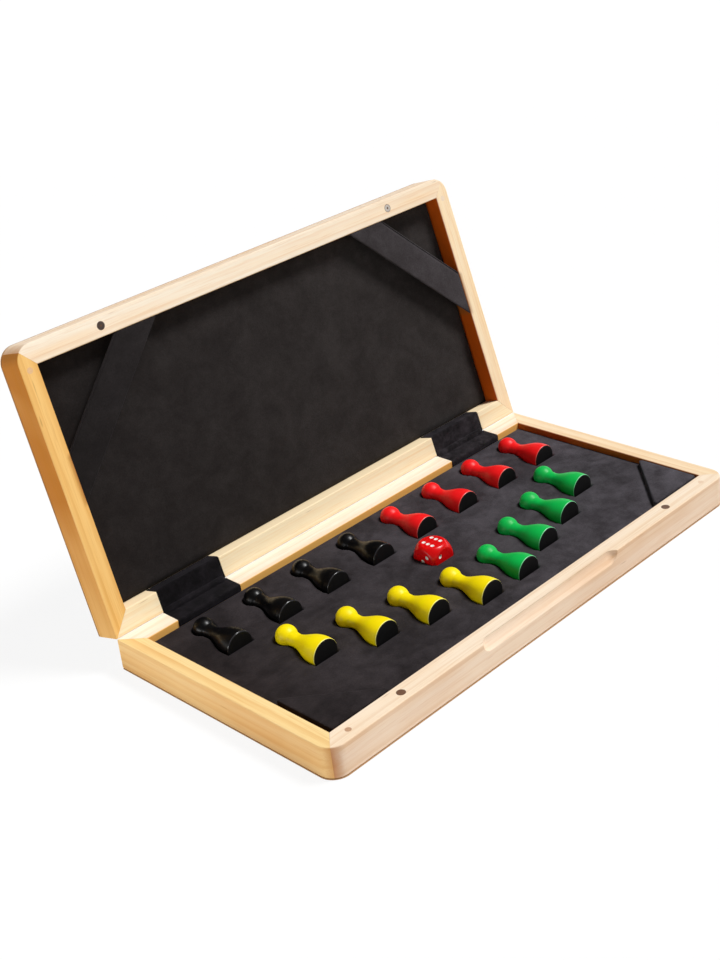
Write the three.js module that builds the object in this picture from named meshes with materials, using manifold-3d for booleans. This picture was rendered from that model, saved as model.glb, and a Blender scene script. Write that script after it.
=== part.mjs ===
// Folding ludo board box: two shallow pine halves hinged along their rear rails.
// The base keeps sixteen pawns and a die in the pockets of a suede-covered insert.
// The lid stands open, and laid out flat the two outer faces make one square board.
// Millimetres, +Z up. The origin is the middle of the base's underside.

import * as THREE from 'three';
import { mergeVertices } from 'three/addons/utils/BufferGeometryUtils.js';
import { RoundedBoxGeometry } from 'three/addons/geometries/RoundedBoxGeometry.js';
import Module from 'manifold-3d';

const wasm = await Module();
wasm.setup();

// Each half, measured from the fold axis, which lies on the rear top edge
const boxWidth = 300;
const halfDepth = 150;
const halfHeight = 17;
const foldGap = 0.15;
const openAngle = THREE.MathUtils.degToRad(105.5);
const cornerRadius = 9;
const edgeRound = 0.6;
const glueLine = 0.1;
const slipFit = 0.2;
const overrun = 2;

// Mitred pine rails, with a plywood board let in behind a thin playing sheet
const sideRail = 10;
const frontRail = 11;
const rearRail = 11.3;
const sheetThick = 0.5;
const boardThick = 3;
const boardRebate = 4;

// Finger groove along the base's front edge
const grooveRadius = 6;
const grooveLength = 92;
const grooveStandOff = 2.7;
const grooveDrop = 0.5;

// Magnets and wooden plugs set into the rims
const magnetRadius = 2.5;
const magnetDepth = 3;
const magnetInset = 49;
const rimSink = 0.1;
const plugRadius = 1.5;
const plugDepth = 5;
const basePlugInset = 16;
const lidPlugInset = 12.5;

// Two butt hinges under suede cover strips
const hingeInset = 49;
const leafWidth = 34;
const leafDepth = 10.4;
const leafThick = 1;
const barrelRadius = 1.3;
const barrelClear = 0.3;
const middleKnuckle = 12;
const knuckleGap = 0.2;
const pinRadius = 0.6;
const pinClear = 0.05;
const pinHead = 0.4;
const screwSpacing = 22;
const screwSetback = 6.5;
const screwHole = 1.1;
const screwHead = 2.1;
const coverWidth = 40.5;
const coverThick = 0.6;
const coverSink = 0.2;
const coverLift = 0.2;

// Insert, corner pads, lining and corner straps
const insertDrop = 3.4;
const padLeg = 40;
const padDrop = 0.8;
const liningDrop = 8.6;
const strapNear = 45.5;
const strapFar = 71.5;
const strapThick = 1.2;
const strapDrop = 0.4;
const strapTab = 6;

// Pawns, lying with their heads towards the fold. The end gaps run from a side
// rail to the outermost pawn's axis, and the others from a pawn to what it faces.
// The front row bows back from the middle outwards by shares of its whole rise.
// A pawn's body has a radius at each of seven places below its head: the shares
// are of the body's length and of the base's radius.
const pawnLength = 33.1;
const pawnRadius = 7.75;
const headRadius = 5.6;
const headStart = THREE.MathUtils.degToRad(45);
const bodyLengthShares = [0.03, 0.16, 0.34, 0.51, 0.67, 0.8, 0.9];
const bodyRadiusShares = [1, 1.01, 0.93, 0.75, 0.56, 0.46, 0.47];
const baseEdgeShare = 0.94;
const pawnClear = 0.4;
const pocketEnd = 0.6;
const pawnsPerSet = 4;
const rearEndGap = 24.5;
const frontEndGap = 42.3;
const rearRailGap = 6.9;
const frontRailGap = 15.7;
const rowGap = 8;
const frontRiseShares = [0, 0.318, 0.578, 1];
const blackLift = 0.2;
const redLift = 0.9;
const yellowLift = 1.6;
const greenLift = 1.2;

// Die, half sunk in its own pocket midway between the two rows
const dieSize = 16;
const dieRound = 3.4;
const pipRadius = 1.5;
const pipStandOff = 1.15;
const pipPitch = 3.05;

// Places that follow from those sizes, in a half's own frame: the fold axis
// runs along X through the origin, the front lies towards -Y and the rim faces +Z
const rimZ = -foldGap;
const rearY = -foldGap;
const frontY = -halfDepth;
const outerZ = -halfHeight;
const railFootZ = outerZ + sheetThick + glueLine;
const boardTopZ = railFootZ + boardThick;
const innerX = boxWidth / 2 - sideRail;
const innerFrontY = frontY + frontRail;
const innerRearY = rearY - rearRail;
const leafTopZ = rimZ - coverSink - coverThick - glueLine;
const notchFloorZ = leafTopZ - leafThick - glueLine;
const insertTopZ = rimZ - insertDrop;
const liningTopZ = rimZ - liningDrop;
const hingeX = boxWidth / 2 - hingeInset;
const magnetX = boxWidth / 2 - magnetInset;
const rearRowY = innerRearY - rearRailGap - pawnLength;
const frontRowY = innerFrontY + frontRailGap;
const frontRowRise = rearRowY - rowGap - pawnLength - frontRowY;
const dieY = (frontRowY + pawnLength + rearRowY) / 2;

const finish = {
  pine: { color: 0xe3c08e, roughness: 0.55 },
  pineEnd: { color: 0xd9b07a, roughness: 0.6 },
  plywood: { color: 0xcfa46c, roughness: 0.7 },
  playSheet: { color: 0x6b4a2c, roughness: 0.45 },
  suede: { color: 0x3a3839, roughness: 0.95 },
  steel: { color: 0xb9bcc0, roughness: 0.35, metalness: 1 },
  magnet: { color: 0x9b8468, roughness: 0.4, metalness: 0.6 },
  black: { color: 0x151515, roughness: 0.2 },
  red: { color: 0xd8221d, roughness: 0.2 },
  yellow: { color: 0xf4dc00, roughness: 0.2 },
  green: { color: 0x12a04a, roughness: 0.2 },
};

// A closed mesh as a solid that can be cut and joined, and back again
function solidOf(geometry) {
  const bare = geometry.clone();
  bare.deleteAttribute('normal');
  bare.deleteAttribute('uv');
  const merged = mergeVertices(bare);
  return new wasm.Manifold(new wasm.Mesh({
    numProp: 3,
    vertProperties: new Float32Array(merged.attributes.position.array),
    triVerts: new Uint32Array(merged.index.array),
  }));
}

function geometryOf(solid) {
  const mesh = solid.getMesh();
  const geometry = new THREE.BufferGeometry();
  geometry.setAttribute('position', new THREE.BufferAttribute(mesh.vertProperties, mesh.numProp));
  geometry.setIndex(new THREE.BufferAttribute(mesh.triVerts, 1));
  geometry.computeVertexNormals();
  return geometry;
}

function cut(solid, tools) {
  return tools.reduce((rest, tool) => rest.subtract(tool), solid);
}

// Plain solids, given by the ranges that they fill
function block(x, y, z) {
  const geometry = new THREE.BoxGeometry(x[1] - x[0], y[1] - y[0], z[1] - z[0]);
  geometry.translate((x[0] + x[1]) / 2, (y[0] + y[1]) / 2, (z[0] + z[1]) / 2);
  return solidOf(geometry);
}

function prism(shape, z) {
  const geometry = new THREE.ExtrudeGeometry(shape, {
    depth: z[1] - z[0],
    bevelEnabled: false,
    curveSegments: 6,
  });
  geometry.translate(0, 0, z[0]);
  return solidOf(geometry);
}

function polygon(points) {
  return new THREE.Shape(points.map(([x, y]) => new THREE.Vector2(x, y)));
}

function uprightRod(radius, x, y, z) {
  const geometry = new THREE.CylinderGeometry(radius, radius, z[1] - z[0], 16);
  geometry.rotateX(Math.PI / 2);
  geometry.translate(x, y, (z[0] + z[1]) / 2);
  return solidOf(geometry);
}

function crossRod(radius, x, sides = 16) {
  const geometry = new THREE.CylinderGeometry(radius, radius, x[1] - x[0], sides);
  geometry.rotateZ(Math.PI / 2);
  geometry.translate((x[0] + x[1]) / 2, 0, 0);
  return solidOf(geometry);
}

// Outline of a half: square at the fold, rounded at the two front corners
function halfOutline() {
  const side = boxWidth / 2;
  const shape = new THREE.Shape();
  shape.moveTo(side, rearY);
  shape.lineTo(-side, rearY);
  shape.lineTo(-side, frontY + cornerRadius);
  shape.absarc(-side + cornerRadius, frontY + cornerRadius, cornerRadius, Math.PI, Math.PI * 1.5);
  shape.lineTo(side - cornerRadius, frontY);
  shape.absarc(side - cornerRadius, frontY + cornerRadius, cornerRadius, -Math.PI / 2, 0);
  return shape;
}

// The rails are first one frame: the outline round its well, with soft edges,
// a rebate for the board and a saw kerf along each mitre
function railFrame() {
  const ring = halfOutline();
  ring.holes.push(polygon([
    [-innerX, innerFrontY],
    [-innerX, innerRearY],
    [innerX, innerRearY],
    [innerX, innerFrontY],
  ]));
  const softened = new THREE.ExtrudeGeometry(ring, {
    depth: rimZ - railFootZ - 2 * edgeRound,
    bevelThickness: edgeRound,
    bevelSize: edgeRound,
    bevelOffset: -edgeRound,
    bevelSegments: 2,
    curveSegments: 6,
  });
  softened.translate(0, 0, railFootZ + edgeRound);
  const rebate = block(
    [-innerX - boardRebate, innerX + boardRebate],
    [innerFrontY - boardRebate, innerRearY + boardRebate],
    [outerZ - overrun, boardTopZ + glueLine],
  );
  return cut(solidOf(softened), [rebate, ...mitreKerfs()]);
}

function mitreCorners() {
  const side = boxWidth / 2;
  return [
    { outer: [-side, frontY], inner: [-innerX, innerFrontY] },
    { outer: [side, frontY], inner: [innerX, innerFrontY] },
    { outer: [side, rearY], inner: [innerX, innerRearY] },
    { outer: [-side, rearY], inner: [-innerX, innerRearY] },
  ];
}

function mitreKerfs() {
  return mitreCorners().map(({ outer, inner }) => {
    const along = new THREE.Vector2(inner[0] - outer[0], inner[1] - outer[1]);
    const kerf = new THREE.BoxGeometry(2 * along.length(), glueLine, 2 * halfHeight);
    kerf.rotateZ(along.angle());
    kerf.translate((outer[0] + inner[0]) / 2, (outer[1] + inner[1]) / 2, outerZ / 2);
    return solidOf(kerf);
  });
}

// The wedge of the frame between two neighbouring mitres
function railWedge(first, second) {
  const past = ({ outer, inner }) => outer.map((value, i) => 2 * value - inner[i]);
  return prism(
    polygon([past(first), past(second), second.inner, first.inner]),
    [outerZ - overrun, rimZ + overrun],
  );
}

function hingeNotch(x) {
  const half = coverWidth / 2 + slipFit;
  const notch = block(
    [x - half, x + half],
    [innerRearY - overrun, rearY + overrun],
    [notchFloorZ, rimZ + overrun],
  );
  return notch.add(crossRod(barrelRadius + barrelClear, [x - half, x + half]));
}

function rimHole(radius, depth, x, y) {
  return uprightRod(radius + glueLine, x, y, [rimZ - rimSink - depth - glueLine, rimZ + overrun]);
}

function fingerGroove() {
  const groove = new THREE.CapsuleGeometry(grooveRadius, grooveLength, 6, 24);
  groove.rotateZ(Math.PI / 2);
  groove.translate(0, frontY - grooveStandOff, rimZ - grooveDrop);
  return solidOf(groove);
}

// Four rails of one half, by name
function buildRails({ grooved, plugs }) {
  const frame = railFrame();
  const corners = mitreCorners();
  const rails = ['front', 'right', 'rear', 'left'].map((name, i) => {
    const wedge = railWedge(corners[i], corners[(i + 1) % corners.length]);
    return [name, frame.intersect(wedge)];
  });
  const tools = { front: [], right: [], rear: [], left: [] };
  for (const x of [-hingeX, hingeX]) tools.rear.push(hingeNotch(x));
  for (const x of [-magnetX, magnetX]) {
    tools.front.push(rimHole(magnetRadius, magnetDepth, x, frontY + frontRail / 2));
  }
  for (const { rail, x, y } of plugs) tools[rail].push(rimHole(plugRadius, plugDepth, x, y));
  if (grooved) tools.front.push(fingerGroove());
  return Object.fromEntries(rails.map(([name, solid]) => [name, cut(solid, tools[name])]));
}

function buildBoard() {
  const reach = boardRebate - glueLine;
  return block(
    [-innerX - reach, innerX + reach],
    [innerFrontY - reach, innerRearY + reach],
    [railFootZ, boardTopZ],
  );
}

function buildPlaySheet() {
  return prism(halfOutline(), [outerZ, outerZ + sheetThick]);
}

function rimDisc(radius, depth, x, y) {
  return uprightRod(radius, x, y, [rimZ - rimSink - depth, rimZ - rimSink]);
}

// Hinge leaf: a plate in the rail's notch, with knuckles round the pin. The plate stops
// clear of the other leaf's knuckle, whose root reaches as far out as the plate is deep.
function knuckleSpans(outerPair) {
  const middle = middleKnuckle / 2;
  const end = leafWidth / 2;
  if (!outerPair) return [[-middle, middle]];
  return [[-end, -middle - knuckleGap], [middle + knuckleGap, end]];
}

function buildLeaf(x, outerPair) {
  const plateZ = [leafTopZ - leafThick, leafTopZ];
  const plateEnd = leafTopZ - leafThick - knuckleGap;
  let leaf = block([x - leafWidth / 2, x + leafWidth / 2], [-leafDepth, plateEnd], plateZ);
  for (const span of knuckleSpans(outerPair)) {
    const place = span.map((value) => value + x);
    leaf = leaf.add(block(place, [plateEnd - knuckleGap, 0], plateZ));
    leaf = leaf.add(crossRod(barrelRadius, place));
  }
  const bore = crossRod(pinRadius + pinClear, [x - leafWidth, x + leafWidth], 12);
  const holes = [x - screwSpacing / 2, x + screwSpacing / 2].map(countersunkHole);
  return cut(leaf, [bore, ...holes]);
}

function buildPin(x) {
  const half = leafWidth / 2 + pinHead;
  return crossRod(pinRadius, [x - half, x + half], 12);
}

// Hole for a flat-headed screw, right through a leaf and coned at its top face
function countersunkHole(x) {
  const cone = screwHead - screwHole;
  const profile = [
    [0, -leafThick - overrun],
    [screwHole, -leafThick - overrun],
    [screwHole, -cone],
    [screwHead + overrun, overrun],
    [0, overrun],
  ];
  const geometry = new THREE.LatheGeometry(profile.map(([r, z]) => new THREE.Vector2(r, z)), 12);
  geometry.rotateX(Math.PI / 2);
  geometry.translate(x, -screwSetback, leafTopZ);
  return solidOf(geometry);
}

// Suede strip over a hinge, from the lining over both rims down to the insert.
// Its line is given by a depth from the fold axis and a height over each rim plane.
function coverLine() {
  const bend = openAngle;
  const onBase = (depth, height) => new THREE.Vector2(-depth, height);
  const onLid = (depth, height) => new THREE.Vector2(
    -depth * Math.cos(bend) - height * Math.sin(bend),
    depth * Math.sin(bend) - height * Math.cos(bend),
  );
  const height = rimZ - coverSink - coverThick / 2;
  const drop = -innerRearY + glueLine + coverThick / 2;
  const radius = barrelRadius + coverLift + coverThick / 2;
  const dip = Math.asin(height / radius);
  const foot = radius * Math.cos(dip);
  const arcSteps = 7;
  const points = [onBase(drop, insertTopZ + glueLine), onBase(drop, height)];
  points.push(onBase(foot + coverThick, height));
  for (let i = 0; i <= arcSteps; i += 1) {
    const angle = Math.PI - dip - (bend - 2 * dip) * (i / arcSteps);
    points.push(new THREE.Vector2(radius * Math.cos(angle), radius * Math.sin(angle)));
  }
  points.push(onLid(foot + coverThick, height));
  points.push(onLid(drop, height), onLid(drop, liningTopZ + glueLine));
  return points;
}

// The line moved sideways, each corner kept sharp
function offsetLine(points, distance) {
  const normals = points.slice(1).map((point, i) => {
    const along = point.clone().sub(points[i]).normalize();
    return new THREE.Vector2(-along.y, along.x);
  });
  return points.map((point, i) => {
    const before = normals[Math.max(i - 1, 0)];
    const after = normals[Math.min(i, normals.length - 1)];
    const middle = before.clone().add(after).normalize();
    return point.clone().addScaledVector(middle, distance / middle.dot(after));
  });
}

function buildCover(x) {
  const line = coverLine();
  const near = offsetLine(line, coverThick / 2);
  const far = offsetLine(line, -coverThick / 2).reverse();
  const geometry = new THREE.ExtrudeGeometry(new THREE.Shape([...near, ...far]), {
    depth: coverWidth,
    bevelEnabled: false,
  });
  geometry.rotateX(Math.PI / 2);
  geometry.rotateZ(Math.PI / 2);
  geometry.translate(x - coverWidth / 2, 0, 0);
  return solidOf(geometry);
}

function buildPad(sign) {
  const corner = [sign * (innerX - slipFit), innerFrontY + slipFit];
  const outline = polygon([
    corner,
    [corner[0] - sign * padLeg, corner[1]],
    [corner[0], corner[1] + padLeg],
  ]);
  return prism(outline, [insertTopZ + glueLine, rimZ - padDrop]);
}

function buildLining() {
  return block(
    [-innerX + slipFit, innerX - slipFit],
    [innerFrontY + slipFit, innerRearY - slipFit],
    [boardTopZ + glueLine, liningTopZ],
  );
}

// Diagonal strap across a front corner, its ends folded down the rails
function buildStrap(sign) {
  const x = sign * (innerX - glueLine);
  const y = innerFrontY + glueLine;
  const top = rimZ - strapDrop;
  const near = x - sign * strapNear;
  const far = x - sign * strapFar;
  const range = (a, b) => [Math.min(a, b), Math.max(a, b)];
  const band = prism(
    polygon([[near, y], [far, y], [x, y + strapFar], [x, y + strapNear]]),
    [top - strapThick, top],
  );
  const down = [top - strapTab, top];
  const frontTab = block(range(near, far), [y, y + strapThick], down);
  const sideTab = block(range(x, x - sign * strapThick), [y + strapNear, y + strapFar], down);
  return band.add(frontTab).add(sideTab);
}

// Pawn profile from the flat base to the head, turned about its own length
function pawnProfile(room, endRoom) {
  const headMiddle = pawnLength - headRadius;
  const bodyEnd = headMiddle - headRadius * Math.cos(headStart);
  const points = [
    new THREE.Vector2(0, -endRoom),
    new THREE.Vector2(pawnRadius * baseEdgeShare + room, -endRoom),
  ];
  bodyLengthShares.forEach((share, i) => {
    points.push(new THREE.Vector2(pawnRadius * bodyRadiusShares[i] + room, bodyEnd * share));
  });
  const headSteps = 5;
  for (let i = 0; i < headSteps; i += 1) {
    const angle = headStart + (Math.PI - headStart) * (i / headSteps);
    points.push(new THREE.Vector2(
      (headRadius + room) * Math.sin(angle),
      headMiddle - (headRadius + room) * Math.cos(angle),
    ));
  }
  points.push(new THREE.Vector2(0, headMiddle + headRadius + room));
  return points;
}

function buildPawn({ x, y, lift }, room = 0, endRoom = 0) {
  const geometry = new THREE.LatheGeometry(pawnProfile(room, endRoom), 12);
  geometry.translate(x, y, insertTopZ + lift);
  return solidOf(geometry);
}

// Two rows of pawns: a straight one near the fold and a bowed one at the front
function pawnPlaces() {
  const rearPitch = (innerX - rearEndGap) / (pawnsPerSet - 0.5);
  const frontPitch = (innerX - frontEndGap) / (pawnsPerSet - 0.5);
  const places = [];
  for (let i = 0; i < pawnsPerSet; i += 1) {
    const rearX = (i + 0.5) * rearPitch;
    const frontX = (i + 0.5) * frontPitch;
    const bowedY = frontRowY + frontRowRise * frontRiseShares[i];
    places.push({ name: `black_${pawnsPerSet - i}`, x: -rearX, y: rearRowY, lift: blackLift });
    places.push({ name: `red_${i + 1}`, x: rearX, y: rearRowY, lift: redLift });
    places.push({ name: `yellow_${pawnsPerSet - i}`, x: -frontX, y: bowedY, lift: yellowLift });
    places.push({ name: `green_${i + 1}`, x: frontX, y: bowedY, lift: greenLift });
  }
  return places;
}

function dieBlock(room) {
  const size = dieSize + 2 * room;
  const geometry = new RoundedBoxGeometry(size, size, size, 2, dieRound + room);
  geometry.translate(0, dieY, insertTopZ);
  return solidOf(geometry);
}

// Pips of the six faces: which way a face looks, and its places in pip pitches
function pipLayout() {
  const alongX = new THREE.Vector3(1, 0, 0);
  const alongY = new THREE.Vector3(0, 1, 0);
  const alongZ = new THREE.Vector3(0, 0, 1);
  const back = (way) => way.clone().negate();
  const four = [[-1, -1], [1, 1], [-1, 1], [1, -1]];
  return [
    { out: alongZ, across: alongX, up: alongY, spots: [...four, [-1, 0], [1, 0]] },
    { out: back(alongZ), across: alongX, up: alongY, spots: [[0, 0]] },
    { out: back(alongX), across: alongY, up: alongZ, spots: [[-1, 1], [0, 0], [1, -1]] },
    { out: alongX, across: alongY, up: alongZ, spots: four },
    { out: back(alongY), across: alongX, up: alongZ, spots: [[-1, 1], [1, -1]] },
    { out: alongY, across: alongX, up: alongZ, spots: [...four, [0, 0]] },
  ];
}

function buildDie() {
  const middle = new THREE.Vector3(0, dieY, insertTopZ);
  const pole = new THREE.Vector3(0, 1, 0);
  const dimples = pipLayout().flatMap(({ out, across, up, spots }) => spots.map(([a, b]) => {
    const place = middle.clone()
      .addScaledVector(out, dieSize / 2 + pipStandOff)
      .addScaledVector(across, a * pipPitch)
      .addScaledVector(up, b * pipPitch);
    const ball = new THREE.SphereGeometry(pipRadius, 8, 6);
    ball.applyQuaternion(new THREE.Quaternion().setFromUnitVectors(pole, out));
    ball.translate(place.x, place.y, place.z);
    return solidOf(ball);
  }));
  return cut(dieBlock(0), dimples);
}

// Insert: a firm suede-covered block with one pocket for each game piece
function buildInsert(pawns) {
  const body = block(
    [-innerX + slipFit, innerX - slipFit],
    [innerFrontY + slipFit, innerRearY - slipFit],
    [boardTopZ + glueLine, insertTopZ],
  );
  const pockets = pawns.map((pawn) => buildPawn(pawn, pawnClear, pocketEnd));
  return cut(body, [...pockets, dieBlock(pawnClear)]);
}

const board = new THREE.Group();
const base = new THREE.Group();
const lid = new THREE.Group();
const lidTurn = new THREE.Group();
board.add(base, lid);
lid.add(lidTurn);
base.position.set(0, halfDepth / 2, halfHeight);
lid.position.copy(base.position);
lid.rotation.x = -openAngle;
lidTurn.rotation.y = Math.PI;

function place(group, name, solid, look) {
  const mesh = new THREE.Mesh(geometryOf(solid), new THREE.MeshStandardMaterial(look));
  mesh.name = name;
  group.add(mesh);
}

// What both halves have. A half turned over for the lid has its sides exchanged,
// so each side's sign is given by the caller.
function placeHalf(group, half, sides, plugs, grooved) {
  const rails = buildRails({ grooved, plugs });
  const railNames = { front: 'front', rear: 'rear', left: sides.nameOf(-1), right: sides.nameOf(1) };
  for (const [name, solid] of Object.entries(rails)) {
    place(group, `${half}_${railNames[name]}_rail`, solid, finish.pine);
  }
  place(group, `${half}_board`, buildBoard(), finish.plywood);
  place(group, `${half}_play_sheet`, buildPlaySheet(), finish.playSheet);
  for (const sign of [-1, 1]) {
    const side = sides.nameOf(sign);
    const magnet = rimDisc(magnetRadius, magnetDepth, sign * magnetX, frontY + frontRail / 2);
    place(group, `${half}_magnet_${side}`, magnet, finish.magnet);
    const plug = plugs.find(({ x }) => Math.sign(x) === sign);
    const plugSolid = rimDisc(plugRadius, plugDepth, plug.x, plug.y);
    place(group, `${half}_rim_plug_${side}`, plugSolid, finish.pineEnd);
    const leaf = buildLeaf(sign * hingeX, half === 'base');
    place(group, `${half}_hinge_leaf_${side}`, leaf, finish.steel);
  }
}

const baseSides = { nameOf: (sign) => (sign < 0 ? 'left' : 'right') };
const lidSides = { nameOf: (sign) => (sign < 0 ? 'right' : 'left') };
const basePlugs = [-1, 1].map((sign) => (
  { rail: 'front', x: sign * (boxWidth / 2 - basePlugInset), y: frontY + frontRail / 2 }
));
const lidPlugs = [-1, 1].map((sign) => ({
  rail: sign < 0 ? 'left' : 'right',
  x: sign * (boxWidth / 2 - sideRail / 2),
  y: frontY + lidPlugInset,
}));

placeHalf(base, 'base', baseSides, basePlugs, true);
placeHalf(lidTurn, 'lid', lidSides, lidPlugs, false);

const pawns = pawnPlaces();
place(base, 'base_insert', buildInsert(pawns), finish.suede);
place(lidTurn, 'lid_lining', buildLining(), finish.suede);
for (const sign of [-1, 1]) {
  place(base, `base_corner_pad_${baseSides.nameOf(sign)}`, buildPad(sign), finish.suede);
  place(base, `hinge_pin_${baseSides.nameOf(sign)}`, buildPin(sign * hingeX), finish.steel);
  place(base, `hinge_cover_${baseSides.nameOf(sign)}`, buildCover(sign * hingeX), finish.suede);
  place(lidTurn, `lid_strap_${lidSides.nameOf(sign)}`, buildStrap(sign), finish.suede);
}
for (const pawn of pawns) {
  const set = pawn.name.split('_')[0];
  place(base, `pawn_${pawn.name}`, buildPawn(pawn), finish[set]);
}
place(base, 'die', buildDie(), finish.red);

board.updateMatrixWorld(true);

export default board;
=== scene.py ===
# Folding ludo board box for pictures: pine rails, a suede insert and lining, lacquered
# pawns and a die. The dictionaries are in millimetres and the meshes in metres.

from functools import partial
import bmesh
import bpy
import numpy as np
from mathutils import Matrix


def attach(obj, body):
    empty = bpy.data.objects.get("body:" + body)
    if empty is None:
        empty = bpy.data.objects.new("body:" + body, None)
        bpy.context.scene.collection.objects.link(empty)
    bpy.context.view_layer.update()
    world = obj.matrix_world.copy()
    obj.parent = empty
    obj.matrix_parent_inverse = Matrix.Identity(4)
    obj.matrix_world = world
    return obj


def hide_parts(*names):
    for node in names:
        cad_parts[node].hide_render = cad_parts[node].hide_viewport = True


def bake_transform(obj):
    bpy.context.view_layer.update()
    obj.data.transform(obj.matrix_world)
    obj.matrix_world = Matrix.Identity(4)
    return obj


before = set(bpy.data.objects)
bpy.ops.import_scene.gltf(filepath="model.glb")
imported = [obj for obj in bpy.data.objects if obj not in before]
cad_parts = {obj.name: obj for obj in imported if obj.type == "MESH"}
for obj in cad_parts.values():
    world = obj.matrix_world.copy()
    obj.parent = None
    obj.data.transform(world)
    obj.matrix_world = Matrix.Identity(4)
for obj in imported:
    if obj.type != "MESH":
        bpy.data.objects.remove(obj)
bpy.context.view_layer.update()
print("model loaded, nodes:", len(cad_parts))

# Both halves. A place on a half is x, the distance d from the fold axis and the
# height h over the rim plane; the lid's plane is turned round that axis.
case = {
    "width": 300, "depth": 150, "foldY": 75, "foldZ": 17, "foldGap": 0.15,
    "openAngle": np.radians(105.5),
    "sideRail": 10, "frontRail": 11, "rearRail": 11.3, "cornerRadius": 9,
    "insertDrop": 3.4, "liningDrop": 8.6, "panelFoot": -13.3, "slipFit": 0.2,
    "hingeX": 101,
}
halves = ("base", "lid")
sides = {"left": -1, "right": 1}
halfWidth = case["width"] / 2
innerX = halfWidth - case["sideRail"]
innerFront = case["depth"] - case["frontRail"]
innerRear = case["foldGap"] + case["rearRail"]
rim = -case["foldGap"]
insertTop = rim - case["insertDrop"]
liningTop = rim - case["liningDrop"]
panelX = innerX - case["slipFit"]
panelFront = innerFront - case["slipFit"]
panelRear = innerRear + case["slipFit"]


def placeOn(half, x, d, h):
    if half == "base":
        y, z = case["foldY"] - d, case["foldZ"] + h
    else:
        c, s = np.cos(case["openAngle"]), np.sin(case["openAngle"])
        y, z = case["foldY"] - d * c - h * s, case["foldZ"] + d * s - h * c
    return np.stack(np.broadcast_arrays(x, y, z), -1).astype(float)


# The way straight up out of a half's rim
def upFrom(half):
    return placeOn(half, 0, 0, 1) - placeOn(half, 0, 0, 0)


# Vectors brought to length one
def unit(vectors):
    return vectors / np.linalg.norm(vectors, axis=-1, keepdims=True)


# Quads between neighbouring lines of a grid of points; the columns may close on themselves
def gridFaces(rows, columns, closed):
    i = np.arange(rows - 1)[:, None]
    j = np.arange(columns if closed else columns - 1)[None, :]
    right = (j + 1) % columns
    corners = [i * columns + j, i * columns + right, (i + 1) * columns + right, (i + 1) * columns + j]
    return np.stack(np.broadcast_arrays(*corners), -1).reshape(-1, 4)


# A row of closed rings joined into one skin, with a flat face over each end
def skinOver(rings):
    rows, columns = rings.shape[:2]
    faces = gridFaces(rows, columns, True).tolist()
    faces.append(list(range(columns))[::-1])
    faces.append(list(range((rows - 1) * columns, rows * columns)))
    return rings.reshape(-1, 3), faces


# A mesh object at the origin, riding on its body. A closed skin whose volume comes out
# negative is turned inside out, so its faces point outwards, and points less than a
# thousandth of a millimetre apart are made one. Looks say which material each face has.
# Marks are vectors kept with the points, for a pattern that follows the piece.
def makePiece(name, skin, materials, body, sharp, stands=(), looks=None, marks=None):
    points, faces = skin
    mesh = bpy.data.meshes.new(name)
    mesh.from_pydata((np.asarray(points) * 0.001).tolist(), [], faces)
    for mark, values in (marks or {}).items():
        kept = mesh.attributes.new(mark, "FLOAT_VECTOR", "POINT")
        kept.data.foreach_set("vector", np.asarray(values, np.float32).ravel())
    mesh.calc_loop_triangles()
    corners = np.zeros(len(mesh.loop_triangles) * 3, int)
    mesh.loop_triangles.foreach_get("vertices", corners)
    a, b, c = np.moveaxis(np.asarray(points)[corners.reshape(-1, 3)], 1, 0)
    if np.sum(a * np.cross(b, c)) < 0:
        mesh.flip_normals()
    for material in materials:
        mesh.materials.append(material)
    if looks is not None:
        mesh.polygons.foreach_set("material_index", np.asarray(looks, np.int32))
    merged = bmesh.new()
    merged.from_mesh(mesh)
    bmesh.ops.remove_doubles(merged, verts=merged.verts, dist=1e-6)
    merged.to_mesh(mesh)
    merged.free()
    mesh.shade_smooth()
    mesh.set_sharp_from_angle(angle=np.radians(sharp))
    piece = bpy.data.objects.new(name, mesh)
    bpy.context.scene.collection.objects.link(piece)
    # A piece given no body rides on none
    if body:
        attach(piece, body)
    if stands:
        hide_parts(*stands)
    return piece


# Surface of revolution: each radius and height of a profile carried round an axis. A
# row's radius may also be given for every step of the turn.
def turnedRings(radius, height, centre, axis, steps):
    axis = np.array(axis, float)
    side = unit(np.cross(axis, [0.3, 0.5, 0.8]))
    other = np.cross(axis, side)
    angle = np.linspace(0, 2 * np.pi, steps, endpoint=False)
    spoke = np.cos(angle)[:, None] * side + np.sin(angle)[:, None] * other
    radius, height = np.array(radius, float), np.array(height, float)
    radius = radius if radius.ndim == 2 else radius[:, None]
    return centre + height[:, None, None] * axis + radius[..., None] * spoke


# A flat band with rounded long edges, carried along two lines, its near and far edge.
# Its thickness lies along the cross product of the band's run and its width.
def bandRings(near, far, thick):
    half = thick / 2
    turn = np.linspace(-np.pi / 2, np.pi / 2, 7)
    middle = np.linspace(0, 1, 15)[1:-1]
    level = 0 * middle
    share = np.r_[0 * turn, middle, 1 + 0 * turn, middle[::-1]]
    shift = np.r_[half - half * np.cos(turn), level, half * np.cos(turn) - half, level]
    lift = np.r_[-half * np.sin(turn), half + level, half * np.sin(turn[::-1]), level - half]
    width = far - near
    across = unit(width)
    out = unit(np.cross(np.gradient((near + far) / 2, axis=0), across))
    return (near[:, None] + width[:, None] * share[:, None] + across[:, None] * shift[:, None]
            + out[:, None] * lift[:, None])


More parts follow.
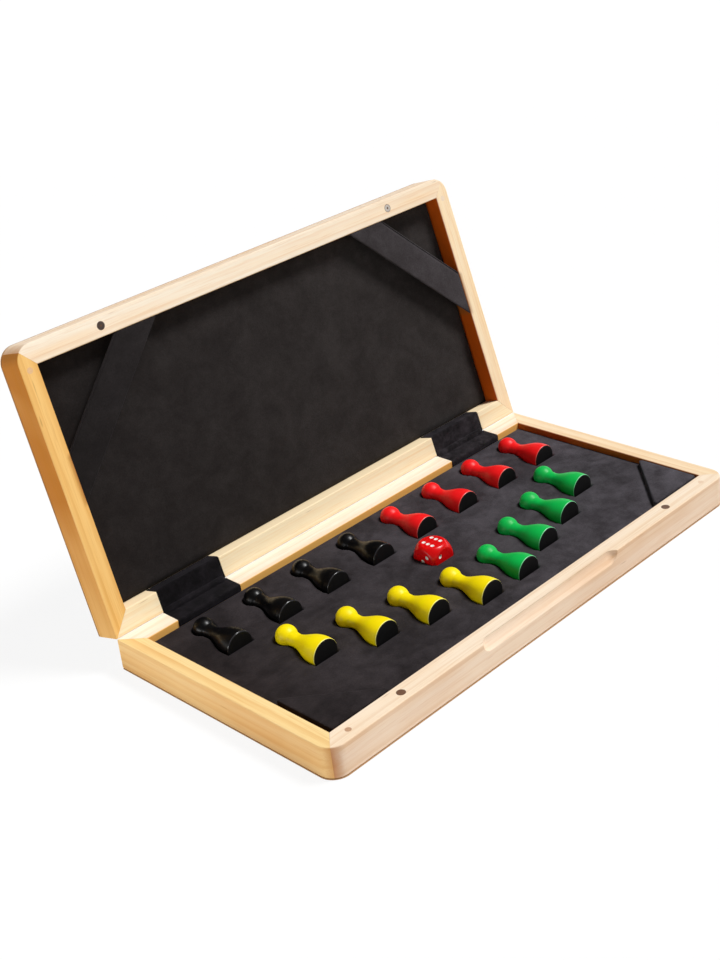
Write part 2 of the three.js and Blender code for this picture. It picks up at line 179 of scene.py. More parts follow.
# A smooth curve through given places: cubic pieces whose slopes come from the neighbours
def smoothThrough(at, value, places):
    at, value, places = (np.asarray(v, float) for v in (at, value, places))
    slope = np.gradient(value, at)
    k = np.clip(np.searchsorted(at, places) - 1, 0, len(at) - 2)
    gap = at[k + 1] - at[k]
    t = (places - at[k]) / gap
    return ((1 + 2 * t) * (1 - t) ** 2 * value[k] + t * (1 - t) ** 2 * gap * slope[k]
            + t ** 2 * (3 - 2 * t) * value[k + 1] + t ** 2 * (t - 1) * gap * slope[k + 1])


# From nought to one along a smooth step
def smoothStep(share):
    share = np.clip(share, 0, 1)
    return share ** 2 * (3 - 2 * share)


# Half the chord of a circle at a distance from its middle, or nought outside it
def halfChord(radius, away):
    return np.sqrt(np.maximum(radius ** 2 - away ** 2, 0))


# How far a quarter round has dropped, at a distance in from where it ends
def rollOff(radius, away):
    return radius - halfChord(radius, np.maximum(radius - away, 0))


def linearColour(code):
    value = np.array([int(code[i:i + 2], 16) for i in (1, 3, 5)]) / 255
    linear = np.where(value <= 0.04045, value / 12.92, ((value + 0.055) / 1.055) ** 2.4)
    return (*linear, 1.0)


# Sets a node's inputs, given by name or number, or as a list from the first on. A hex
# colour is made linear. Another node is linked by its first output that is in use.
def feed(node, inputs):
    for socket, value in inputs.items() if isinstance(inputs, dict) else enumerate(inputs):
        if isinstance(value, bpy.types.Node):
            value = next(output for output in value.outputs if output.enabled)
        if isinstance(value, bpy.types.NodeSocket):
            node.id_data.links.new(value, node.inputs[socket])
        else:
            node.inputs[socket].default_value = linearColour(value) if isinstance(value, str) else value


# Adds a node with its inputs and its settings, of which the operation comes unnamed
def addNode(tree, kind, inputs=(), operation=None, **settings):
    node = tree.nodes.new("ShaderNode" + kind)
    if operation:
        node.operation = operation
    for name, value in settings.items():
        setattr(node, name, value)
    feed(node, inputs)
    return node


# A new material, its shader, and addNode bound to its nodes
def startMaterial(name, constants):
    material = bpy.data.materials.new(name)
    material.use_nodes = True
    shader = material.node_tree.nodes["Principled BSDF"]
    feed(shader, constants)
    return material, shader, partial(addNode, material.node_tree)


# Radiata pine, planed and sanded, with one thin coat of clear oil. It gives pale wood
# with soft amber lines 3 to 5 mm apart where the late wood was cut, long streaks along
# the grain, a few short resin flecks and a faint satin sheen. The grain mark holds each
# point's place along, across and up the rail, so the pattern turns with the rail.
pine = {
    "ringSpacing": 0.0042, "streakWidth": 0.003, "fibreWidth": 0.0007, "fleckWidth": 0.0008,
    # The brown after the fleck's is painted shade, laid beside the straps' ends
    "stretch": 0.03, "fleckStretch": 0.09, "fleck": "#a06a36", "strapShade": "#9a5a24",
    # Each rail was cut from its own board; the left rails' golden tones are partly that and
    # partly painted warm shade of the side away from the light. In turn: the pale wood, the
    # warm streaks, the late wood's lines, the inner face's tone, which is painted light and
    # shade, and the thirsty wood at corners and outer faces, partly painted shade on the latter.
    "tones": {
        "base": {"front": ("#fdebd4", "#f3d3ab", "#deb182", "#7d451c", "#c2804a"),
                 "rear": ("#fdf1e0", "#fadfb8", "#e4b47c", "#ffc268", "#d0a06c"),
                 "left": ("#fcdfa2", "#f6c982", "#dca052", "#d99a4e", "#cc8640"),
                 "right": ("#fde6c4", "#f5cc94", "#dfa866", "#bd6424", "#cf9c62")},
        "lid": {"front": ("#fff0da", "#fbd7aa", "#e6b47e", "#e3b679", "#cf945c"),
                "rear": ("#fff0cf", "#ffdfa6", "#f0c27c", "#ffe8c0", "#d3a264"),
                "left": ("#f9cb80", "#efb35c", "#d4903a", "#d99a4e", "#b56f14"),
                "right": ("#ffe9c6", "#fbcf94", "#e5ab62", "#c05610", "#d3a264")},
    },
    # How much of the thirsty tone an outer face takes, at the fold and at the front: partly
    # real soaking and partly painted shade, most of it on the lid's left face towards its front edge
    "soakAndShade": {"base": {"front": (0.32, 0.32), "rear": (0.2, 0.2), "left": (0.3, 0.55), "right": (0.2, 0.2)},
             "lid": {"front": (0.2, 0.2), "rear": (0.2, 0.2), "left": (0.45, 1.6), "right": (0.2, 0.2)}},
}


def pineMaterial(name, main, warm, line, inner, oiledAndShadedTone):
    material, shader, add = startMaterial(name, {"Specular IOR Level": 0.1})
    grain = add("Attribute", attribute_name="grain").outputs["Vector"]
    marks = add("Attribute", attribute_name="wood").outputs["Vector"]
    # The wood mark's parts: thirsty wood, with painted shade on the outer faces, the inner face, whose tone is
    # painted light and shade, and painted shade beside the straps' ends
    corner, innerFaceShading, strapShadeShare = add("SeparateXYZ", [marks]).outputs
    drawn = add("VectorMath", [grain, (pine["stretch"], 1, 1)], "MULTIPLY")
    # Rings of this wave lie 0.314 / scale apart
    rings = add("TexWave", {
        "Vector": drawn, "Scale": 0.314 / pine["ringSpacing"], "Distortion": 4, "Detail": 2,
        "Detail Scale": 0.3, "Detail Roughness": 0.5,
    }, wave_type="RINGS", rings_direction="X", wave_profile="SAW").outputs["Fac"]
    streaks = add("TexNoise", {
        "Vector": drawn, "Scale": 0.5 / pine["streakWidth"], "Detail": 5, "Roughness": 0.62})
    patches = add("TexNoise", {"Vector": grain, "Scale": 16, "Detail": 2})
    fibre = add("TexNoise", {"Vector": drawn, "Scale": 1 / pine["fibreWidth"], "Detail": 2, "Roughness": 0.7})
    spread = add("MapRange", [streaks, 0.36, 0.68, 0, 0.75])
    clouded = add("MapRange", [patches, 0.4, 0.7, 0.4, 1.1])
    warmth = add("Math", [spread, clouded], "MULTIPLY")
    lateWood = add("MapRange", [rings, 0.3, 1, 0, 0.7], interpolation_type="SMOOTHSTEP")
    depth = add("Math", [lateWood, spread], "MULTIPLY")
    fineLines = add("MapRange", [fibre, 0.5, 0.76, 0, 0.42])
    drawnIn = add("Math", [depth, fineLines], "MAXIMUM")
    short = add("VectorMath", [grain, (pine["fleckStretch"], 1, 1)], "MULTIPLY")
    resin = add("TexNoise", {"Vector": short, "Scale": 0.5 / pine["fleckWidth"], "Detail": 1})
    flecks = add("MapRange", [resin, 0.74, 0.8, 0, 0.4])
    # Thirsty wood, end grain above all, drinks more oil, in patches; on the outer faces the
    # same tone also stands for painted shade
    inPatches = add("MapRange", [patches, 0.35, 0.65, 0.55, 1])
    cornerAndShadeShare = add("Math", [inPatches, corner], "MULTIPLY")
    tone = main
    for share, colour in ((warmth, warm), (drawnIn, line), (flecks, pine["fleck"]),
                          (cornerAndShadeShare, oiledAndShadedTone), (innerFaceShading, inner), (strapShadeShare, pine["strapShade"])):
        tone = add("Mix", {0: share, 6: tone, 7: colour}, data_type="RGBA")
    feed(shader, {
        "Base Color": tone, "Roughness": add("MapRange", [streaks, 0.3, 0.7, 0.42, 0.58]),
        "Normal": add("Bump", {"Height": fibre, "Strength": 0.12, "Distance": 0.0002})})
    return material


# Microfibre suede, knitted, impregnated and sanded to a nap. It gives a deep matt
# charcoal with cloudy patches where the nap was stroked the other way. Its tones are
# multiplied darker and browner towards the left end and lighter towards the right, a
# painted falloff of the light from the right. The fibres are finer than the render shows,
# so they are drawn 0.8 mm apart.
def suedeMaterial(name, dark, light, cloud, stroke, sheen, sheenTint, shadedLeftEnd, litRightEnd):
    material, shader, add = startMaterial(name, {
        "Roughness": 0.95, "Specular IOR Level": 0.12, "Sheen Weight": sheen,
        "Sheen Roughness": 0.45, "Sheen Tint": sheenTint})
    point = add("TexCoord").outputs["Object"]
    clouds = add("TexNoise", {
        "Vector": point, "Scale": 1 / cloud, "Detail": 4, "Roughness": 0.62, "Distortion": 0.4})
    strokes = add("TexNoise", {"Vector": point, "Scale": 1 / stroke, "Detail": 3, "Roughness": 0.6})
    fibre = add("TexNoise", {"Vector": point, "Scale": 1 / 0.0008, "Detail": 2, "Roughness": 0.7})
    cloudy = add("MapRange", [clouds, 0.38, 0.66, 0, 0.65])
    stroked = add("MapRange", [strokes, 0.35, 0.75, 0, 0.35])
    nap = add("Math", [cloudy, stroked], "ADD")
    colour = add("Mix", {0: nap, 6: dark, 7: light}, data_type="RGBA")
    fine = add("Mix", {0: fibre, 6: (0.6, 0.6, 0.6, 1), 7: (1.4, 1.4, 1.4, 1)}, data_type="RGBA")
    wash = add("Mix", {0: 1, 6: colour, 7: fine}, data_type="RGBA", blend_type="MULTIPLY")
    # Painted light falloff: darker at the left end, lighter at the right
    across = add("SeparateXYZ", [point]).outputs[0]
    spread = add("MapRange", [across, -innerX * 0.001, innerX * 0.001, 0, 1])
    ends = add("Mix", {0: spread, 6: (*shadedLeftEnd, 1), 7: (*litRightEnd, 1)}, data_type="RGBA")
    feed(shader, {
        "Base Color": add("VectorMath", [wash, ends], "MULTIPLY"),
        "Normal": add("Bump", {"Height": fibre, "Strength": 0.35, "Distance": 0.0003})})
    return material


# A finish whose colour drifts between two tones, in patches of a given size that may be
# drawn out along one side. The roughness may drift with it between two values, and a
# relief may be pressed in, with its own size, detail and strength.
def mottledFinish(name, constants, tones, size, detail, stretch=None, roughness=None, relief=None):
    material, shader, add = startMaterial(name, constants)
    point = add("TexCoord").outputs["Object"]
    drawn = add("VectorMath", [point, stretch], "MULTIPLY") if stretch else point
    patches = add("TexNoise", {"Vector": drawn, "Scale": 1 / size, "Detail": detail})
    feed(shader, {"Base Color": add("Mix", {0: patches, 6: tones[0], 7: tones[1]}, data_type="RGBA")})
    if roughness:
        feed(shader, {"Roughness": add("MapRange", [patches, 0.3, 0.7, *roughness])})
    if relief:
        pits = add("TexNoise", {"Vector": point, "Scale": 1 / relief[0], "Detail": relief[1]})
        feed(shader, {"Normal": add("Bump", {"Height": pits, "Strength": relief[2], "Distance": 0.0002})})
    return material


# Beech turned on a lathe and dipped in nitro lacquer. It gives a full colour with a
# satin skin, uneven enough to spread the highlights wide.
def lacquer(name, code, deep, rough=0.44, shine=0.45):
    return mottledFinish(name, {"Specular IOR Level": shine}, (code, deep), 0.006, 2,
                         roughness=(rough - 0.05, rough + 0.05), relief=(0.0016, 1, 0.08))


# Each suede's two tones, the size of its clouds and strokes, its sheen and the sheen's
# tint, and what its tones are multiplied by at the box's left and right end, a painted
# falloff of the light
suedes = {
    "insert": ("#2b282a", "#4b484c", 0.022, 0.006, 0.08, "#b9bcd0", (0.46, 0.38, 0.34), (1.4, 1.38, 1.42)),
    "lining": ("#262221", "#332f2e", 0.02, 0.004, 0.05, "#c9c4c4", (0.62, 0.6, 0.6), (1.18, 1.18, 1.18)),
    "strip": ("#0a090a", "#2b282c", 0.008, 0.002, 0.1, "#b6aebc", (0.3, 0.28, 0.32), (1.8, 1.7, 1.65)),
    "strap": ("#2e2a2b", "#3c383a", 0.014, 0.004, 0.08, "#c4bcc8", (0.3, 0.28, 0.25), (1.38, 1.38, 1.38)),
}
suedes = {name: suedeMaterial(f"{name}Suede", *look) for name, look in suedes.items()}
# Each lacquer's two tones, roughness and shine, and the same for the sharp rim of the
# foot, whose paler tones are a painted highlight
lacquers = {
    "black": (("#040405", "#090809", 0.33, 0.25), ("#3a393d", "#2a292c", 0.22)),
    "red": (("#ff1d20", "#fb1418", 0.44, 0.28), ("#ff6f66", "#ff544c", 0.36)),
    "yellow": (("#ffec00", "#ffdf00", 0.44, 0.25), ("#fff58a", "#fff060", 0.36)),
    "green": (("#08c656", "#06b64a", 0.44, 0.32), ("#8fe2ac", "#6ad48f", 0.36)),
}
lacquers = {name: (lacquer(f"{name}Lacquer", *full), lacquer(f"{name}LacquerRimHighlight", *rimHighlight))
            for name, (full, rimHighlight) in lacquers.items()}
print("finishes made")


rails = {
    "edgeRound": 0.6, "foldRound": 0.34, "arcSteps": 6, "foot": -16.4, "rebate": 4, "rebateTop": -13.3,
    # Where the outer face's fine rows begin, how far in the rim's fine columns go, and
    # the columns beside the inner edge
    "faceFrom": -7.2, "rimTo": -4.4, "rimNear": [3.2, 2.4, 1.6, 1.0],
    "kerf": 0.07, "notchHalf": 20.28, "notchFloor": -2.15,
    "foldFace": 0.03, "foldRise": 0.1, "riseFrom": 3,
    "grooveRadius": 6, "grooveHalf": 46, "grooveOut": 2.7, "grooveDown": 0.5, "grooveLip": 0.15,
    "grooveEnd": (44.5, 53), "fadeFrom": 2.5, "fadeWidth": 2,
    # Where painted shade lies along the lid's side rails beside the straps' ends, and how wide and deep
    "strapShadeFrom": 67, "strapShadeTo": 94, "strapShadeFade": 1.5, "strapShadeWidth": 2.6, "strapShadeDepth": 0.85,
    "middle": {"front": 144.5, "rear": 5.7, "left": -145, "right": 145},
}


# Loop round a rail's section: rebate, foot, outer face, rim and inner face, with quarter
# rounds at three arrises. A point lies a share of the way across the rail plus a shift,
# and the last row says how far it has turned onto the inner face.
def railLoop(side):
    r = rails["edgeRound"]
    top = rails["foldRound"] if side == "rear" else r
    foot, rebate, rebateTop = rails["foot"], rails["rebate"], rails["rebateTop"]
    turn = np.linspace(0, np.pi / 2, rails["arcSteps"])
    faceUp = np.linspace(rails["faceFrom"], rim - top, 30)[:-1]
    rimIn = np.linspace(-top, rails["rimTo"], 20)[1:]
    rimNear = np.array(rails["rimNear"])
    share = np.r_[0, 1 + 0 * turn, 1 + 0 * faceUp, 1 + 0 * turn, 1 + 0 * rimIn, 0 * rimNear, 0 * turn, 0, 0]
    shift = np.r_[rebate, r * np.sin(turn) - r, 0 * faceUp, top * np.cos(turn) - top,
                  rimIn, rimNear, r - r * np.sin(turn), 0, rebate]
    height = np.r_[foot, foot + r - r * np.cos(turn), faceUp, rim - top + top * np.sin(turn),
                   rim + 0 * rimIn, rim + 0 * rimNear, rim - r + r * np.cos(turn), rebateTop, rebateTop]
    inside = np.r_[0 * share[:-len(turn) - 2], np.sin(turn), 1, 1]
    return share, shift, height, inside


# Matched places (x, d) on a rail's inner and outer lines. The mitre runs from the inner
# corner to where its line meets the round corner's arc. The stations lie close where the
# groove ends, level with each other along the rail, and lean over towards the mitres.
def railLines(side):
    cr = case["cornerRadius"]
    centre = np.array([halfWidth - cr, case["depth"] - cr])
    back = np.array([innerX, innerFront]) - centre - cr
    a, b, c = back @ back, 2 * cr * back.sum(), cr ** 2
    t = (-b - np.sqrt(b * b - 4 * a * c)) / (2 * a)
    mitre = np.arctan2(cr + t * back[1], cr + t * back[0])
    k = rails["kerf"]
    if side == "front":
        arc = np.linspace(np.pi / 2, mitre, 12)[1:]
        straight = np.r_[np.linspace(0, 44, 8), np.linspace(*rails["grooveEnd"], 50), np.linspace(60, centre[0], 6)]
        x = np.r_[straight, centre[0] + cr * np.cos(arc)]
        d = np.r_[0 * straight + case["depth"], centre[1] + cr * np.sin(arc)]
        x, d = np.r_[-x[:0:-1], x], np.r_[d[:0:-1], d]
        corner = x[-1]
        inX = np.interp(x, [-corner, -centre[0], -100, 100, centre[0], corner],
                        [k - innerX, 2 - innerX, -100, 100, innerX - 2, innerX - k])
        return np.stack([inX, 0 * x + innerFront], 1), np.stack([x, d], 1)
    if side == "rear":
        # The two ends of the notch stand twice, for its walls
        outer, inner = -case["hingeX"] - rails["notchHalf"], -case["hingeX"] + rails["notchHalf"]
        x = np.array([k - halfWidth, -130, outer, outer, inner, inner, -60, 0])
        x = np.r_[x, -x[-2::-1]]
        inX = np.interp(x, [k - halfWidth, -130, 130, halfWidth - k], [k - innerX, -130, 130, innerX - k])
        return np.stack([inX, 0 * x + innerRear], 1), np.stack([x, 0 * x + rails["foldFace"]], 1)
    arc = np.linspace(0, mitre, 12)[1:]
    straight = np.linspace(rails["foldFace"], centre[1], 61)
    d = np.r_[straight, centre[1] + cr * np.sin(arc)]
    x = np.r_[0 * straight + halfWidth, centre[0] + cr * np.cos(arc)]
    inD = np.interp(d, [d[0], 24, 124, centre[1], d[-1]],
                    [innerRear + k, 24, 124, innerFront - 2, innerFront - k])
    return np.stack([sides[side] * (0 * d + innerX), inD], 1), np.stack([sides[side] * x, d], 1)


# Places nearer to the groove's axis than its radius are pushed straight out to it. The
# softened larger of the two distances rounds the groove's lip, which stays below the rim.
def cutFingerGroove(x, d, h):
    axisD = case["depth"] + rails["grooveOut"]
    axisH = rim - rails["grooveDown"]
    alongX = x - np.clip(x, -rails["grooveHalf"], rails["grooveHalf"])
    fromAxis = np.stack([alongX, d - axisD, h - axisH], -1)
    near = np.linalg.norm(fromAxis, axis=-1, keepdims=True)
    over = near - rails["grooveRadius"]
    pushed = rails["grooveRadius"] + (over + np.sqrt(over ** 2 + rails["grooveLip"] ** 2)) / 2
    fade = np.clip((rails["fadeFrom"] - over) / rails["fadeWidth"], 0, 1)
    moved = fromAxis * (1 + fade * (pushed / near - 1)) - fromAxis
    return x + moved[..., 0], d + moved[..., 1], np.minimum(h + moved[..., 2], rim)


# A rail's skin and its two marks: the grain's place, and how thirsty the wood is at a
# point, with painted shade on the outer faces, how far it lies on the inner face, whose
# tone is painted light and shade, and how much painted shade it takes beside a strap's end
def railSkin(half, side, number):
    atEnd = side in sides
    lengthwise = int(atEnd)
    inner, outer = railLines(side)
    share, shift, height, inside = railLoop(side)
    across = outer - inner
    width = np.linalg.norm(across, axis=1, keepdims=True)
    across /= width
    square = np.abs(across[:, [1 - lengthwise]])
    along = share * width + np.where(share > 0.5, shift, shift / square)
    x = inner[:, :1] + across[:, :1] * along
    d = inner[:, 1:] + across[:, 1:] * along
    # The rims rise a little over their last few millimetres and meet at the fold
    rise = rails["foldRise"] * smoothStep((rails["riseFrom"] - d) / rails["riseFrom"])
    h = height + np.where(height > rim - 1, rise, 0)
    if side == "rear":
        # These stations stand between a notch's walls
        notched = [3, 4, 10, 11]
        h[notched] = np.minimum(h[notched], rails["notchFloor"])
    if side == "front" and half == "base":
        x, d, h = cutFingerGroove(x, d, h)
    places = (d, x) if atEnd else (x, d)
    grain = np.stack([places[0], places[1] - rails["middle"][side], h], -1) * 0.001
    # Each rail lies elsewhere in the trunk, in metres from its heart
    grain += [0.31 * number, 0.016 + 0.006 * (5 * number % 7), -0.02 - 0.005 * (3 * number % 5)]
    start = (case["depth"] if atEnd else halfWidth) - case["cornerRadius"]
    reach = np.abs(outer[:, lengthwise])
    bend = 0 * reach if side == "rear" else np.clip((reach - start) / (reach.max() - start), 0, 1)
    outside = np.where(share > 0.5, np.clip((rim - height) / rails["edgeRound"], 0, 1), 0)
    # The outer faces' share is partly real soaking and partly painted shade
    atFold, atFront = pine["soakAndShade"][half][side]
    soakAndShade = atFold + (atFront - atFold) * outer[:, 1:] / case["depth"]
    thirstAndShade = outside * np.maximum(bend[:, None], soakAndShade)
    # Painted shade on the lid's side rails, along the inner edge where each strap's end comes in
    beside = (np.clip((d - rails["strapShadeFrom"]) / rails["strapShadeFade"], 0, 1)
              * np.clip((rails["strapShadeTo"] - d) / rails["strapShadeFade"], 0, 1))
    paintedShade = beside * np.where(share < 0.5, np.clip(1 - along / rails["strapShadeWidth"], 0, 1), 0)
    paintedShade = rails["strapShadeDepth"] * paintedShade * (half == "lid" and atEnd)
    wood = np.stack(np.broadcast_arrays(thirstAndShade, inside, paintedShade), -1)
    return skinOver(placeOn(half, x, d, h)), {"grain": grain, "wood": wood}


railNames = [(half, side) for half in halves for side in ("front", "rear", "left", "right")]
for number, (half, side) in enumerate(railNames, 1):
    skin, marks = railSkin(half, side, number)
    finish = pineMaterial(f"oiledPine{half.title()}{side.title()}", *pine["tones"][half][side])
    makePiece(f"{half}_{side}_rail_pine", skin, [finish], half, 35, [f"{half}_{side}_rail"], marks=marks)
print("rails made")


# Pawns, lying with their heads towards the fold

pawn = {
    "length": 33.1, "radius": 7.75, "headRadius": 5.6, "headStart": np.radians(45),
    "bodyShares": [0.03, 0.16, 0.34, 0.51, 0.67, 0.8, 0.9, 1],
    "radiusShares": [1, 1.01, 0.93, 0.75, 0.56, 0.46, 0.47],
    "disc": [0.3, 3, 5.5], "baseEdge": 0.7, "pole": 0.04, "turns": 56,
    "rearY": 23.55, "rearPitch": 33, "frontPitch": 27.914,
    "frontRise": [0, 9.794, 17.802, 30.8], "frontY": -48.3,
    "lift": {"black": 0.2, "red": 0.9, "yellow": 1.6, "green": 1.2},
}
# Where the head's middle and the neck lie along a pawn
headAt = pawn["length"] - pawn["headRadius"]
neckAt = headAt - pawn["headRadius"] * np.cos(pawn["headStart"])


# Radius of a pawn at places along its length: the body's smooth curve, then the ball
def pawnRadius(places):
    at = np.array(pawn["bodyShares"]) * neckAt
    radius = np.r_[np.array(pawn["radiusShares"]) * pawn["radius"],
                   pawn["headRadius"] * np.sin(pawn["headStart"])]
    body = smoothThrough(at, radius, np.clip(places, at[0], neckAt))
    return np.where(places <= neckAt, body, halfChord(pawn["headRadius"], places - headAt))


def pawnPlaces():
    places = {}
    for i in range(4):
        rearX = (i + 0.5) * pawn["rearPitch"]
        frontX = (i + 0.5) * pawn["frontPitch"]
        bowed = pawn["frontY"] + pawn["frontRise"][i]
        places[f"black_{4 - i}"] = (-rearX, pawn["rearY"])
        places[f"red_{i + 1}"] = (rearX, pawn["rearY"])
        places[f"yellow_{4 - i}"] = (-frontX, bowed)
        places[f"green_{i + 1}"] = (frontX, bowed)
    return places


# Profile: the flat disc, a quarter round at the foot, the body and the head. The last
# rows lie round the ball by even angles, so the pole stays round.
def pawnProfile():
    e = pawn["baseEdge"]
    turn = np.linspace(0, np.pi / 2, 7)
    foot = pawnRadius(np.array([e]))[0]
    disc = np.array(pawn["disc"])
    body = np.linspace(e, neckAt, 40)[1:]
    head = np.linspace(pawn["headStart"], np.pi - pawn["pole"], 24)[1:]
    radius = np.r_[disc, foot - e + e * np.sin(turn), pawnRadius(body), pawn["headRadius"] * np.sin(head)]
    height = np.r_[0 * disc, e - e * np.cos(turn), body, headAt - pawn["headRadius"] * np.cos(head)]
    return radius, height


# Painted foot of a pawn: matt black enamel over the flat end grain
footPaint = mottledFinish("footPaint", {"Roughness": 0.5, "Specular IOR Level": 0.3},
                          ("#030303", "#0e0d0e"), 0.0015, 3, relief=(0.0015, 3, 0.2))
places = pawnPlaces()
profile = pawnProfile()
topZ = case["foldZ"] + insertTop
for name, (x, y) in places.items():
    colour = name.split("_")[0]
    centre = np.array([x, y, topZ + pawn["lift"][colour]])
    skin = skinOver(turnedRings(*profile, centre, (0, 1, 0), pawn["turns"]))
    # The disc and half its round edge are painted; the next two rows are a painted highlight
    looks = np.zeros(len(skin[1]), int)
    looks[:6 * pawn["turns"]] = 1
    looks[6 * pawn["turns"]:8 * pawn["turns"]] = 2
    looks[-2] = 1
    full, rimHighlight = lacquers[colour]
    makePiece(f"pawn_{name}_turned", skin, [full, footPaint, rimHighlight], f"pawn_{name}", 50,
              [f"pawn_{name}"], looks)
print("pawns made")


# Die: the part of a cube that lies inside a ball, with dished white pips

die = {
    "half": 8.0, "ball": 10.3, "soft": 0.35, "steps": 60, "pipRadius": 1.05, "pipDepth": 0.35,
    "pitch": 3.05, "middle": (0, 4.18),
    # For each face, the way out, the way across and the pips' places
    "faces": [
        ((0, 0, 1), (1, 0, 0), [(-1, -1), (1, 1), (-1, 1), (1, -1), (-1, 0), (1, 0)]),
        ((0, 0, -1), (1, 0, 0), [(0, 0)]),
        ((-1, 0, 0), (0, 1, 0), [(-1, 1), (0, 0), (1, -1)]),
        ((1, 0, 0), (0, 1, 0), [(-1, -1), (1, 1), (-1, 1), (1, -1)]),
        ((0, -1, 0), (1, 0, 0), [(-1, 1), (1, -1)]),
        ((0, 1, 0), (1, 0, 0), [(-1, -1), (1, 1), (-1, 1), (1, -1), (0, 0)]),
    ],
}


# A face's grid lies on the cube, and each place is drawn along its own direction to
# the softened smaller of the cube's and the ball's radius. Places near a pip's edge are
# moved onto it, and those inside sink by a bowl.
def dieFace(out, across, pips):
    out, across = np.array(out, float), np.array(across, float)
    up = np.abs(np.cross(out, across))
    line = die["half"] * np.tan(np.linspace(-np.pi / 4, np.pi / 4, die["steps"] + 1))
    s, t = np.meshgrid(line, line, indexing="ij")
    cell = 2 * die["half"] / die["steps"]
    sink = 0 * s
    for a, b in pips:
        ds, dt = s - a * die["pitch"], t - b * die["pitch"]
        away = np.hypot(ds, dt) + 1e-9
        snap = np.where(np.abs(away - die["pipRadius"]) < 0.5 * cell, die["pipRadius"] / away, 1)
        s, t = a * die["pitch"] + ds * snap, b * die["pitch"] + dt * snap
        bowl = 1 - (away * snap / die["pipRadius"]) ** 2
        sink = np.maximum(sink, die["pipDepth"] * np.clip(bowl, 0, 1))
    flat = out * die["half"] + s[..., None] * across + t[..., None] * up
    length = np.linalg.norm(flat, axis=-1, keepdims=True)
    over = length - die["ball"]
    kept = die["ball"] + (over - np.sqrt(over ** 2 + die["soft"] ** 2)) / 2
    white = sink[1:, 1:] + sink[:-1, 1:] + sink[1:, :-1] + sink[:-1, :-1] > 0
    return flat / length * kept - sink[..., None] * out, white.ravel()


# The six faces meet along their edges, where makePiece joins them
def dieSkin():
    grids, whites = zip(*[dieFace(*face) for face in die["faces"]])
    side = die["steps"] + 1
    points = np.concatenate([grid.reshape(-1, 3) for grid in grids])
    one = gridFaces(side, side, False)
    faces = []
    for k, (out, across, pips) in enumerate(die["faces"]):
        up = np.abs(np.cross(out, across))
        turned = one if np.dot(np.cross(across, up), out) > 0 else one[:, ::-1]
        faces.append(turned + k * side * side)
    centre = np.array([*die["middle"], topZ])
    return (points + centre, np.concatenate(faces).tolist()), np.concatenate(whites).astype(int)


# Cast urea resin, tumbled until its edges shine, with pips filled with white enamel
dieRed = lacquer("dieResin", "#f2060a", "#d40407", 0.28, 0.4)
pipWhite = mottledFinish("pipEnamel", {"Roughness": 0.35}, ("#fbf8f4", "#e9e2da"), 0.0012, 2)
skin, whites = dieSkin()
makePiece("die_cast", skin, [dieRed, pipWhite], "die_body", 40, ["die"], whites)
print("die made")


# Insert with a pocket for each game piece

insert = {
    "cell": 0.65, "lip": 0.7, "edge": 1.0, "clear": 0.4, "endClear": 0.6,
    "dieHalf": 8.4, "dieRound": 3.8, "snap": 0.55, "margin": 2, "endSteps": 60,
}


# Half width of a pocket along y, where it meets the insert's top, and its floor's height
def pawnPocket(x, y, lift):
    at = np.linspace(-insert["endClear"], pawn["length"] + insert["clear"], 200)
    radius = pawnRadius(np.clip(at, 0.5, pawn["length"])) + insert["clear"]
    radius = np.where(at > headAt, halfChord(pawn["headRadius"] + insert["clear"], at - headAt), radius)
    return {"x": x, "y": y + at, "width": halfChord(radius, lift), "radius": radius, "lift": lift}


def diePocket():
    half, r = insert["dieHalf"], insert["dieRound"]
    at = np.linspace(-half, half, 120)
    width = half - r + halfChord(r, np.maximum(np.abs(at) - half + r, 0))
    return {"x": die["middle"][0], "y": die["middle"][1] + at, "width": width, "radius": None, "lift": 0}


# A level panel on a grid. Grid places near a pocket's outline are moved onto it, the top
# rolls over into the pocket by a quarter round, and inside it falls to the floor. The
# grid's border is brought down to the foot.
def panelSkin(xRange, yRange, top, foot, cell, edge, pockets=()):
    columns = int(np.ceil((xRange[1] - xRange[0]) / cell))
    rows = int(np.ceil((yRange[1] - yRange[0]) / cell))
    x, y = np.meshgrid(np.linspace(*xRange, columns + 1), np.linspace(*yRange, rows + 1), indexing="ij")
    z = np.full(x.shape, float(top))
    margin, ends = insert["margin"], np.linspace(-1, 1, insert["endSteps"])
    for p in pockets:
        first, last = p["y"][0], p["y"][-1]
        near = (np.abs(x - p["x"]) < p["width"].max() + margin) & (y > first - margin) & (y < last + margin)
        px, py = x[near], y[near]
        lineX = np.r_[p["x"] + p["width"], p["x"] - p["width"],
                      p["x"] + p["width"][0] * ends, p["x"] + p["width"][-1] * ends]
        lineY = np.r_[p["y"], p["y"], first + 0 * ends, last + 0 * ends]
        gap = np.hypot(lineX[None] - px[:, None], lineY[None] - py[:, None])
        k = gap.argmin(1)
        least = gap[np.arange(len(k)), k]
        inside = (np.abs(px - p["x"]) < np.interp(py, p["y"], p["width"])) & (py > first) & (py < last)
        snapped = least < insert["snap"] * cell
        px, py = np.where(snapped, lineX[k], px), np.where(snapped, lineY[k], py)
        rolled = rollOff(insert["lip"], np.where(snapped, 0, least))
        if p["radius"] is None:
            floor = np.full(len(px), top - insert["dieHalf"])
        else:
            radius = np.interp(py, p["y"], p["radius"])
            floor = top + p["lift"] - halfChord(radius, px - p["x"])
        low = np.minimum(floor, top - insert["lip"])
        z[near] = np.minimum(z[near], np.where(inside & ~snapped, low, top - rolled))
        x[near], y[near] = px, py
    z -= rollOff(edge, np.min([x - xRange[0], xRange[1] - x, y - yRange[0], yRange[1] - y], axis=0))
    grid = np.pad(np.stack([x, y, z], -1), ((1, 1), (1, 1), (0, 0)), mode="edge")
    grid[[0, -1], :, 2] = foot
    grid[:, [0, -1], 2] = foot
    return grid


